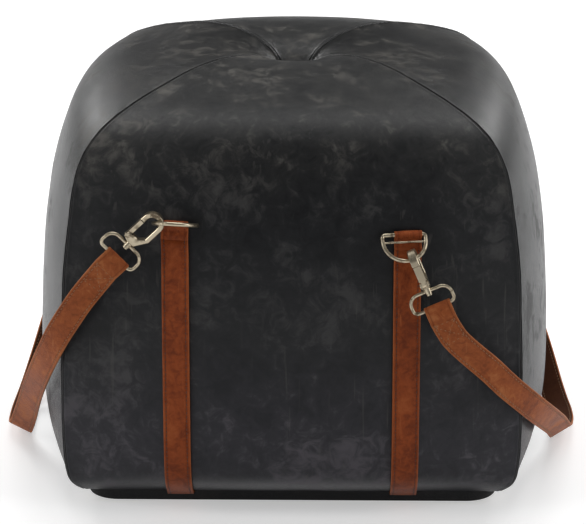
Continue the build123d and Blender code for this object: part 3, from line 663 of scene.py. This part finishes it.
def tube(line, radius, sides):
    """A round cord along a line of points, with closed ends, as points and faces."""
    ahead = unit(np.gradient(line, axis=0))
    side = unit(np.cross(ahead, (0.3, 0.2, 1.0)))
    up = np.cross(side, ahead)
    turn = np.linspace(0, 2 * np.pi, sides, endpoint=False)
    ring = side[:, None] * np.cos(turn)[:, None] + up[:, None] * np.sin(turn)[:, None]
    points = line[:, None] + ring * radius
    last = (len(line) - 1) * sides
    caps = [list(range(sides))[::-1], list(range(last, last + sides))]
    return points.reshape(-1, 3), grid_faces(len(line), sides, True) + caps


# %% [markdown]
# ## The four seams
#
# Along each seam the side gore is folded over the front or back one and topstitched.
# The fold itself is in the gores. This piece is the thin welt between them and the
# row of stitches on the side gore, as the photograph shows.

# %% Building welts and topstitches
THREAD_RAISE, WELT_RAISE, WELT_RADIUS = 0.15, 0.35, 0.55
SEAMS = {"front_left": ("left", -1, "front", 0), "front_right": ("right", 0, "front", -1),
         "back_right": ("right", -1, "back", 0), "back_left": ("left", 0, "back", -1)}
for corner, (side, edge, end, end_edge) in SEAMS.items():
    skin, outward = gore_grids[side]
    column = STITCH_COLUMN if edge == 0 else -1 - STITCH_COLUMN
    line = skin[:, column] + THREAD_RAISE * outward[:, column]
    threads, thread_faces = stitch_mesh([(line[2:-6], outward[2:-6, column])],
                                        length=3.0, gap=1.1, radius=0.34, slant=0.1)
    welt_way = unit(outward[:, edge] + gore_grids[end][1][:, end_edge])
    welt = (skin[:, edge] + gore_grids[end][0][:, end_edge]) / 2 + WELT_RAISE * welt_way
    cord, cord_faces = tube(welt[::2], WELT_RADIUS, 6)
    shift = [[i + len(threads) for i in face] for face in cord_faces]
    seam = new_piece("seam_" + corner, np.concatenate([threads, cord]), thread_faces + shift,
                     dark_thread, "pouf_body")
    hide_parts("seam_bead_" + corner)

# %% [markdown]
# ## Foam inside
#
# The foam is not seen, but it is what keeps the leather full. Four side pads stand
# against the frame box, and a crowned block sits on the deck. Their outer faces follow
# the leather's own levels, moved in past its thickness and its slow waves.

# %% Levels moved in under the leather
FOAM_DEPTH, WALL_ROWS = 3.4, 40


def moved_in(rows, depth):
    """The levels moved in by a depth, square to the surface."""
    result = rows.copy()
    for a, b, stretch in ((0, 1, math.sqrt(2)), (2, 3, 1.0)):
        track = np.stack([rows[:, a] * stretch, rows[:, b]], 1)
        way = unit(np.gradient(track, axis=0))
        result[:, a] = (track[:, 0] - depth * way[:, 1]) / stretch
        result[:, b] = track[:, 1] + depth * way[:, 0]
    return result


def level_row(rows, height):
    """One level of the side walls at a height."""
    wall = rows[:WALL_ROWS]
    half = np.interp(height, wall[:, 1], wall[:, 0])
    middle = np.interp(height, wall[:, 3], wall[:, 2])
    return np.array([half, height, middle, height])


foam_rows = moved_in(form_rows, FOAM_DEPTH)
print("foam half-width:", round(float(foam_rows[:, 2].max()), 1))

# %% Side pads
PAD_LOW, PAD_HIGH, FRAME_FACE, MITRE_GAP = 12.4, 299.6, 176.4, 0.5
pad_levels = np.array([level_row(foam_rows, z) for z in np.linspace(PAD_LOW, PAD_HIGH, 30)])
pad_steps = np.linspace(-1, 1, 31)
pad_places = np.array([pad_steps * (row[0] - MITRE_GAP) for row in pad_levels])
pad_outer = arc_points(pad_levels, pad_places)
flat_places = np.broadcast_to(pad_steps * (FRAME_FACE - MITRE_GAP), pad_outer.shape[:2])
pad_inner = np.stack([flat_places, np.full(flat_places.shape, -FRAME_FACE), pad_outer[..., 2]], -1)


def slab_faces(rows, columns):
    """Faces of a slab whose outer grid is followed by its inner grid."""
    count = rows * columns
    outer = grid_faces(rows, columns)
    inner = [[i + count for i in face[::-1]] for face in outer]
    grid = np.arange(count).reshape(rows, columns)
    rim = np.concatenate([grid[:, 0], grid[-1, 1:], grid[-2::-1, -1], grid[0, -2:0:-1]]).tolist()
    sides = [[a, b, b + count, a + count] for a, b in zip(rim, rim[1:] + rim[:1])]
    return outer + inner + sides


for quarter, side in enumerate(("front", "right", "back", "left")):
    pad = new_piece("foam_pad_" + side, turned(np.stack([pad_outer, pad_inner]), quarter),
                    slab_faces(*pad_outer.shape[:2]), foam, "pouf_body")
    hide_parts("side_pad_" + side)

# %% Crowned seat foam
SEAT_LOW, FIRST_LEVEL, TWINE_HOLE = 300.4, 301.0, 1.5
upper = foam_rows[np.minimum(foam_rows[:, 1], foam_rows[:, 3]) > FIRST_LEVEL]
upper = np.vstack([level_row(foam_rows, SEAT_LOW), upper])
quarter_places = np.array([np.linspace(-1, 1, 25)[:-1] * row[0] for row in upper])
one_side = arc_points(upper, quarter_places)
seat_rings = np.concatenate([turned(one_side, k) for k in range(4)], axis=1)
hole = unit(seat_rings[-1] * (1, 1, 0)) * TWINE_HOLE
hole_low = hole + (0, 0, SEAT_LOW)
hole_high = hole + (0, 0, float(seat_rings[-1, :, 2].max()) - 1.0)
rings = np.concatenate([hole_low[None], seat_rings, hole_high[None], hole_low[None]])
seat = new_piece("foam_seat", rings, grid_faces(*rings.shape[:2], ring=True),
                 foam, "pouf_body")
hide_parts("seat_foam")

# %% [markdown]
# ## The button in the dimple
#
# The twine pulls a leather covered button into the middle of the top. Such a button is
# a shallow dome whose cover is gathered underneath, so it is turned from a profile
# with a slight wave all round.

# %% Covered button
low, high = (corner.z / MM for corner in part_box("tuft_button"))
BUTTON_SIDES, GATHERS = 72, 14
profile = smoothed([(1.6, low), (9.4, low), (10.7, low + 1.2), (11.0, low + 2.8), (10.3, low + 4.4),
                    (8.4, high - 1.0), (5.6, high - 0.3), (2.6, high), (0.05, high)], 2)
angles = np.linspace(0, 2 * np.pi, BUTTON_SIDES, endpoint=False)
wave = 1 + 0.012 * np.cos(GATHERS * angles)
radii, heights = profile[:, :1], np.broadcast_to(profile[:, 1:], (len(profile), BUTTON_SIDES))
button_points = np.stack([radii * np.cos(angles) * wave, radii * np.sin(angles) * wave, heights], -1)
# The button's leather copy is darkened as painted shade in the dimple.
button = new_piece("covered_button", button_points, grid_faces(len(profile), BUTTON_SIDES, True),
                   shaded_button_charcoal, "pouf_body",
                   {"seam": np.zeros(button_points.shape[:2])})
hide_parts("tuft_button")

# %% [markdown]
# ## Straps
#
# A strap is two layers of leather glued and sewn along both edges. Its section is flat
# with rounded edges, a pressed groove under each stitch row, and a slightly full
# middle. The section is carried along the strap's middle line, which bends only the
# easy way of the leather, as real strap does. A curve with a bevel would twist
# freely, so the section's direction is given at each point.

# %% The strap's section
STRAP_WIDTH, STRAP_THICK, LAYER = 25.4, 2.8, 1.4
STITCH_INSET, GROOVE_DEPTH, GROOVE_HALF = 2.9, 0.28, 0.5
THREAD_SINK, BOX_SINK = 0.12, 0.1
STITCH_REACH, STITCH_HEIGHT = STRAP_WIDTH / 2 - STITCH_INSET, STRAP_THICK / 2 - THREAD_SINK


def strap_section(thick):
    """The section's points as a closed ring, with its edges, grooves and sides marked."""
    half, top = STRAP_WIDTH / 2, thick / 2
    row = STITCH_REACH
    side = [(half, 0.0), (half - 0.02, top * 0.55), (half - 0.22, top * 0.86), (half - 0.7, top),
            (half - 1.5, top + 0.06), (row + GROOVE_HALF, top + 0.04), (row, top - GROOVE_DEPTH),
            (row - GROOVE_HALF, top + 0.04), (half - 5.0, top + 0.10), (half - 8.0, top + 0.14),
            (0.0, top + 0.16)]
    upper = side + [(-a, b) for a, b in side[-2::-1]]
    lower = [(-a, -b) for a, b in upper[1:-1]]
    section = np.array(upper + lower)
    edge = ramp(np.abs(section[:, 0]), half - 0.9, half - 0.25)
    groove = dent(np.abs(section[:, 0]), row, 0.45)
    side_mark = np.sign(section[:, 1]) * (np.abs(section[:, 1]) > 0.3 * top)
    return section, {"edge": edge, "groove": groove, "side": side_mark}


def ribbon(centres, across, outward, thick):
    """A strap along centres: its points, faces and point values."""
    section, marks = strap_section(thick)
    points = (centres[:, None] + across[:, None] * section[None, :, :1]
              + outward[:, None] * section[None, :, 1:])
    rows, columns = points.shape[:2]
    caps = [list(range(columns))[::-1], list(range((rows - 1) * columns, rows * columns))]
    faces = grid_faces(rows, columns, True) + caps
    if looks_inwards(centres, across, outward):
        faces = [face[::-1] for face in faces]
    return points.reshape(-1, 3), faces, {key: np.tile(v, rows) for key, v in marks.items()}


def looks_inwards(centres, across, outward):
    """True where the section's ring runs so that its faces would look inwards."""
    along = unit(np.gradient(centres, axis=0))
    return np.mean(np.sum(np.cross(across, outward) * along, -1)) < 0


def strap_piece(name, runs, material, body):
    """One piece from several ribbons of (centres, across, outward, thickness)."""
    all_points, all_values, all_faces, start = [], [], [], 0
    for points, faces, values in (ribbon(*run) for run in runs):
        all_points.append(points)
        all_values.append(values)
        all_faces += [[i + start for i in face] for face in faces]
        start += len(points)
    values = {key: np.concatenate([v[key] for v in all_values]) for key in all_values[0]}
    return new_piece(name, np.concatenate(all_points), all_faces, material, body, values)


def stitch_rows(centres, across, outward):
    """The two stitch lines of a strap, on the face that outward points to."""
    return [(centres + s * STITCH_REACH * across + STITCH_HEIGHT * outward, outward) for s in (-1, 1)]


def with_back(tables, shared=0):
    """Each table of a front half, and its mirror image without the rows they share."""
    return [np.concatenate([table, mirrored(table)[::-1][shared:]]) for table in tables]


# %% A strap end folded over a bar
TAIL, MOUTH, SHOULDER, WRAP_GAP, TAIL_OVERLAP = 14.0, 6.5, 40.0, 0.15, 0.5
MOUTH_BULGE, MOUTH_RUN = 0.3, 3.0


def roll_radius(bar_radius):
    """The outside radius of a layer that runs round a bar."""
    return bar_radius + WRAP_GAP + LAYER


def fold_line(bar_radius):
    """Side view of one layer folded over a bar: out from the strap's back, and along it."""
    roll, near, far = roll_radius(bar_radius), LAYER / 2, STRAP_THICK - LAYER / 2
    middle = roll - LAYER / 2
    line = [(near, -TAIL - TAIL_OVERLAP), (near, -TAIL * 0.6), (near, -TAIL * 0.25)]
    line += [(roll - middle * math.cos(a), middle * math.sin(a))
             for a in np.radians(np.linspace(0, 180 + SHOULDER, 25))]
    line += [(far + MOUTH_BULGE, -MOUTH * 0.72), (far, -MOUTH), (far, -MOUTH - MOUTH_RUN),
             (far, -TAIL - TAIL_OVERLAP)]
    return np.array(line)


def fold_runs(origin, outward, up, across, bar_radius):
    """The front and back folds of a strap. Its back is at origin, and up leads to the bar."""
    line = fold_line(bar_radius)
    outward, up, across = unit(outward), unit(up), unit(across)
    centres = origin + line[:, :1] * outward + line[:, 1:] * up
    ahead = unit(np.gradient(line, axis=0))
    faces = -ahead[:, 1:] * outward + ahead[:, :1] * up
    front = (centres, np.broadcast_to(across, centres.shape), faces)
    return [(*front, LAYER), (*map(mirrored, front), LAYER)]


# %% [markdown]
# ## The sling straps
#
# Each runs from a D-ring on the front, down the leather, under the base in a groove and
# up to the ring at the back. It lies on the leather, so its line is read from the
# gore's own levels, a hair's breadth in front of them.

# %% Where a sling strap lies
SLING_PLACE, SKIN_GAP, RING_WIRE = 106.5, 0.35, 1.9
BAR_HEIGHTS = {"left": 290.0, "right": 282.0}
BASE_HEIGHT, GROOVE_DROP, FIRST_DROP = 12.0, 1.2, 14.0


def skin_point(row, x):
    return arc_points(np.array([row]), np.array([[x]]))[0, 0]


def bow_slope(rise, row, x):
    """How steeply a level's bow of a given rise runs at x."""
    return 2 * rise * x / row[0] ** 2


def sling_end(sign, height):
    """A point of the leather behind a ring's bar, and the strap's directions there."""
    x = sign * SLING_PLACE
    row = level_row(form_rows, height)
    back = skin_point(row, x)
    above = skin_point(level_row(form_rows, height + STRAP_WIDTH / 2), x)
    below = skin_point(level_row(form_rows, height - STRAP_WIDTH / 2), x)
    across = unit((1, bow_slope(row[2] - row[0], row, x), 0))
    outward = unit(np.cross(across, above - below))
    return back, across, outward, np.cross(outward, across)


def sling_line(sign, height):
    """Middle line of the front run, from the fold down to the groove under the base."""
    x, lift = sign * SLING_PLACE, SKIN_GAP + STRAP_THICK / 2
    back, across, outward, up = sling_end(sign, height)
    top = back + lift * outward - TAIL * up
    spots, ways, outs = [top], [across], [outward]
    rows = form_rows[form_rows[:, 1] < top[2] - FIRST_DROP]
    points = np.array([skin_point(row, x) for row in rows])
    ahead = unit(np.gradient(points, axis=0))
    for row, point, along in list(zip(rows, points, ahead))[:0:-1]:
        way = unit((1, bow_slope(row[2] - row[0], row, x), -bow_slope(row[3] - row[1], row, x)))
        out = unit(np.cross(way, along))
        spots.append(point + lift * out)
        ways.append(way)
        outs.append(out)
    base_edge, under = form_rows[0][0], BASE_HEIGHT - GROOVE_DROP - STRAP_THICK / 2
    spots += [(x, -(base_edge + STRAP_THICK), under + GROOVE_DROP / 2),
              (x, -(base_edge - 2 * STRAP_THICK), under)]
    ways += [(1, 0, 0)] * 2
    outs += [unit((0, -1, -1)), (0, 0, -1)]
    table = smoothed(np.hstack([spots, ways, outs]), 1)
    return table[:, :3], unit(table[:, 3:6]), unit(table[:, 6:9])


# %% Building the sling straps
for side, sign in (("left", -1), ("right", 1)):
    whole, ways, outs = with_back(sling_line(sign, BAR_HEIGHTS[side]))
    back, way, out, up = sling_end(sign, BAR_HEIGHTS[side])
    folds = fold_runs(back + SKIN_GAP * out, out, up, way, RING_WIRE)
    sling = strap_piece("sling_" + side, [(whole, ways, outs, STRAP_THICK)] + folds,
                        sling_leather, "pouf_body")
    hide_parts("sling_strap_" + side)
    points, faces = stitch_mesh(stitch_rows(whole, ways, outs),
                                length=2.9, gap=1.2, radius=0.34, slant=0.12)
    new_piece("sling_threads_" + side, points, faces, brown_thread, "pouf_body")
    print("sling", side, "runs", round(lengths_along(whole)[-1]), "mm")

# %% [markdown]
# ## The carry straps
#
# Each hangs from a front hook and a back hook and rests on the floor at its middle. Its
# ends fold over the swivel loops. The middle line and the direction across the strap
# are given at a few listed places, and smoothed between them.

# %% Swivel loops that hold the carry straps
# The frame's joints give each swivel's place and direction, and the gate's hinge is
# square to the hook's flat face. The right loops are turned a quarter on theirs.
LOOP_DEPTH, LOOP_WIRE = 16.8, 1.6
TURNED = {"left": False, "right": True}
STRAP_OFFSET = {"left": 2.6, "right": 2.5}
joints = {joint["name"]: joint for joint in frame["joints"]}


def loop_end(side):
    """The strap's middle on a loop's far side, and the loop's own directions."""
    swivel, gate = joints[f"front_{side}_hook_swivel"], joints[f"front_{side}_gate_open"]
    along, face = unit(swivel["axis"]), -unit(gate["axis"])
    across = np.cross(face, along)
    y_way, z_way = (face, -across) if TURNED[side] else (across, face)
    bar = np.array(swivel["pos_m"]) / MM + LOOP_DEPTH * along + STRAP_OFFSET[side] * y_way
    return bar, along, y_way, z_way


# %% Routes of the carry straps
# Each row is a place of the middle line in shares of the form, then the way across.
ROUTE_SHARES = {
    "left": [
        (-.720, -.976, .596, -.78, .04, .62), (-.771, -.964, .554, -.80, .12, .59),
        (-.819, -.944, .507, -.81, .21, .56), (-.869, -.912, .453, -.77, .31, .55),
        (-.915, -.852, .391, -.69, .39, .61), (-.968, -.728, .308, -.66, .37, .65),
        (-1.020, -.536, .211, -.70, .31, .64), (-1.060, -.364, .126, -.79, .23, .57),
        (-1.088, -.260, .070, -.85, .15, .50), (-1.106, -.200, .038, -.88, .07, .46),
        (-1.117, -.140, .023, -.89, .02, .45), (-1.121, -.072, .020, -.90, .00, .43),
        (-1.122, .000, .020, -.90, .00, .43)],
    "right": [
        (.600, -1.048, .480, .84, .03, .54), (.662, -1.030, .438, .77, .09, .64),
        (.737, -1.002, .391, .71, .16, .69), (.807, -.966, .341, .67, .22, .71),
        (.880, -.904, .289, .62, .26, .74), (.943, -.800, .234, .62, .25, .74),
        (.997, -.624, .170, .68, .21, .70), (1.040, -.424, .105, .78, .16, .61),
        (1.072, -.248, .046, .84, .10, .54), (1.087, -.136, .025, .88, .02, .48),
        (1.095, -.056, .020, .90, .00, .44), (1.096, .000, .020, .90, .00, .43)]}
ROUTE_SIZE = np.array([FORM_HALF, FORM_HALF, FORM_HEIGHT, 1, 1, 1])


def carry_line(side):
    """Middle line, way across and outer face of the front half of a carry strap."""
    bar, along, y_way, z_way = loop_end(side)
    start = bar + TAIL * along + (roll_radius(LOOP_WIRE) - STRAP_THICK / 2) * z_way
    route = np.array(ROUTE_SHARES[side]) * ROUTE_SIZE
    if np.dot(y_way, route[0, 3:]) < 0:
        y_way = -y_way
    rows = smoothed(np.vstack([np.concatenate([start, y_way]), route]), 2)
    ahead = np.gradient(rows[:, :3], axis=0)
    ahead[0], ahead[-1] = along, (0, 1, 0)
    across = unit(rows[:, 3:])
    table = smoothed(np.hstack([rows[:, :3], across, unit(np.cross(across, unit(ahead)))]), 1)
    outward = unit(table[:, 6:])
    if np.dot(outward[0], z_way) < 0:
        outward = -outward
    return table[:, :3], unit(table[:, 3:6]), outward


carry_lines = {side: carry_line(side) for side in ("left", "right")}
print("points along each half:", [len(lines[0]) for lines in carry_lines.values()])

# %% Box stitching at the folded ends
BOX_FIRST, BOX_LAST, BOX_HEIGHT = 2.0, 22.0, STRAP_THICK / 2 - BOX_SINK


def end_box(centres, across, outward):
    """Two cross rows and two diagonals of stitches near a strap's end, front and back."""
    reach = lengths_along(centres)
    runs = []
    for start, end, turn in ((BOX_FIRST, BOX_FIRST, 1), (BOX_LAST, BOX_LAST, 1),
                             (BOX_FIRST, BOX_LAST, 1), (BOX_FIRST, BOX_LAST, -1)):
        spots = np.linspace(start, end, 24)
        sides = np.linspace(-turn, turn, 24)[:, None] * STITCH_REACH
        out = unit(read_at(outward, reach, spots))
        way = unit(read_at(across, reach, spots))
        runs.append((read_at(centres, reach, spots) + sides * way + BOX_HEIGHT * out, out))
    return runs + [(mirrored(line), mirrored(out)) for line, out in runs]


# %% Building the carry straps
for side, lines in carry_lines.items():
    body = side + "_handle"
    whole, ways, outs = with_back(lines, shared=1)
    bar, along, y_way, z_way = loop_end(side)
    folds = fold_runs(bar + roll_radius(LOOP_WIRE) * z_way, -z_way, -along, y_way, LOOP_WIRE)
    strap = strap_piece("carry_" + side, [(whole, ways, outs, STRAP_THICK)] + folds,
                        tan_leather, body)
    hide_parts("carry_strap_" + side)
    rows_of_thread = (stitch_rows(whole, ways, outs) + stitch_rows(whole, ways, -outs)
                      + end_box(*lines))
    points, faces = stitch_mesh(rows_of_thread, length=2.9, gap=1.2, radius=0.36, slant=0.12)
    new_piece("carry_threads_" + side, points, faces, tan_thread, body)
    print("carry", side, "runs", round(lengths_along(whole)[-1]), "mm")

# %% [markdown]
# ## Finishes on the measured pieces
#
# Rings, hooks, gates, rivets and loops are rigid and already right in shape, and so are
# the wood, the base and the screws. They keep their meshes and get the finishes above.

# %% Painting the measured pieces
FINISH_BY_WORD = (("ring_", hardware_metal), ("hook_", hardware_metal), ("rivet", hardware_metal),
                  ("loop", hardware_metal), ("base_wrap", black_wrap), ("screws", plain_steel),
                  ("washer", plain_steel), ("twine", twine))
for name, node in nodes.items():
    finish = next((m for word, m in FINISH_BY_WORD if word in name), frame_wood)
    if not node.material_slots:
        node.data.materials.append(finish)
    for place in node.material_slots:
        place.material = finish
print("pieces painted:", len(nodes))

# %% [markdown]
# ## Floor, light and camera
#
# The photograph is a studio shot on white. A pale floor that shows bright to the camera
# and in reflections gives that background and keeps the shadow under the pouf. One
# large soft lamp stands above, two behind and two beside it. The world looks white to
# the camera but gives only a weak light, so the front keeps its calm darker middle. The
# leather's colour also carries that darker middle as painted shade.

# %% Floor
FLOOR_HALF, FLOOR_GLOW = 7.0, 0.42
floor_mesh = bpy.data.meshes.new("floor")
corners = [(x * FLOOR_HALF, y * FLOOR_HALF, 0) for x, y in ((-1, -1), (1, -1), (1, 1), (-1, 1))]
floor_mesh.from_pydata(corners, [], [(0, 1, 2, 3)])
floor = bpy.data.objects.new("floor", floor_mesh)
scene.collection.objects.link(floor)
floor_finish, tree, shader = new_material("floor_white")
feed(tree, shader, "Base Color", (0.82, 0.82, 0.82, 1))
feed(tree, shader, "Roughness", 0.9)
feed(tree, shader, "Specular IOR Level", 0.0)
rays = add(tree, "LightPath").outputs
bounced = calc(tree, "MAXIMUM", rays["Is Glossy Ray"], rays["Is Transmission Ray"])
seen = calc(tree, "MAXIMUM", rays["Is Camera Ray"], bounced)
feed(tree, shader, "Emission Color", (1, 1, 1, 1))
feed(tree, shader, "Emission Strength", product(tree, seen, FLOOR_GLOW))
floor_mesh.materials.append(floor_finish)
print("floor ready")

# %% World and lamps
INDIRECT_LIGHT = 0.17
world = bpy.data.worlds.new("room")
scene.world = world
world.use_nodes = True
sky = world.node_tree
backdrop = sky.nodes["Background"]
feed(sky, backdrop, "Color", (1, 1, 1, 1))
seen_by_camera = add(sky, "LightPath").outputs["Is Camera Ray"]
feed(sky, backdrop, "Strength", spread(sky, seen_by_camera, 0.0, 1.0, INDIRECT_LIGHT, 1.0))


def soft_lamp(name, place, aim, width, height, power):
    data = bpy.data.lights.new(name, "AREA")
    data.shape = "RECTANGLE"
    data.size, data.size_y, data.energy = width, height, power
    lamp = bpy.data.objects.new(name, data)
    scene.collection.objects.link(lamp)
    lamp.location = place
    lamp.rotation_euler = (Vector(aim) - Vector(place)).to_track_quat("-Z", "Y").to_euler()


soft_lamp("lamp_top", (0, 0.4, 2.4), (0, 0, 0.3), 1.8, 1.0, 24)
soft_lamp("lamp_back_left", (-1.5, 1.8, 1.3), (-0.1, 0, 0.36), 0.7, 0.8, 26)
soft_lamp("lamp_back_right", (1.5, 1.8, 1.3), (0.1, 0, 0.36), 0.7, 0.8, 26)
soft_lamp("lamp_left", (-1.9, -0.8, 1.2), (0, 0, 0.22), 0.6, 1.4, 12)
soft_lamp("lamp_right", (1.9, -0.8, 1.2), (0, 0, 0.22), 0.6, 1.4, 12)
print("lamps:", len(bpy.data.lights))

# %% Camera
camera_data = bpy.data.cameras.new("camera")
camera_data.lens = 167.9
camera_data.sensor_width = 36.0
camera_data.shift_x = -0.003
camera = bpy.data.objects.new("camera", camera_data)
scene.collection.objects.link(camera)
camera.location = (0.0364, -2.6103, 1.0735)
camera.rotation_euler = (Vector((0, 0, 0.1746)) - camera.location).to_track_quat("-Z", "Y").to_euler()
scene.camera = camera
scene.view_settings.view_transform = "Standard"
print("camera at", tuple(round(v, 3) for v in camera.location))
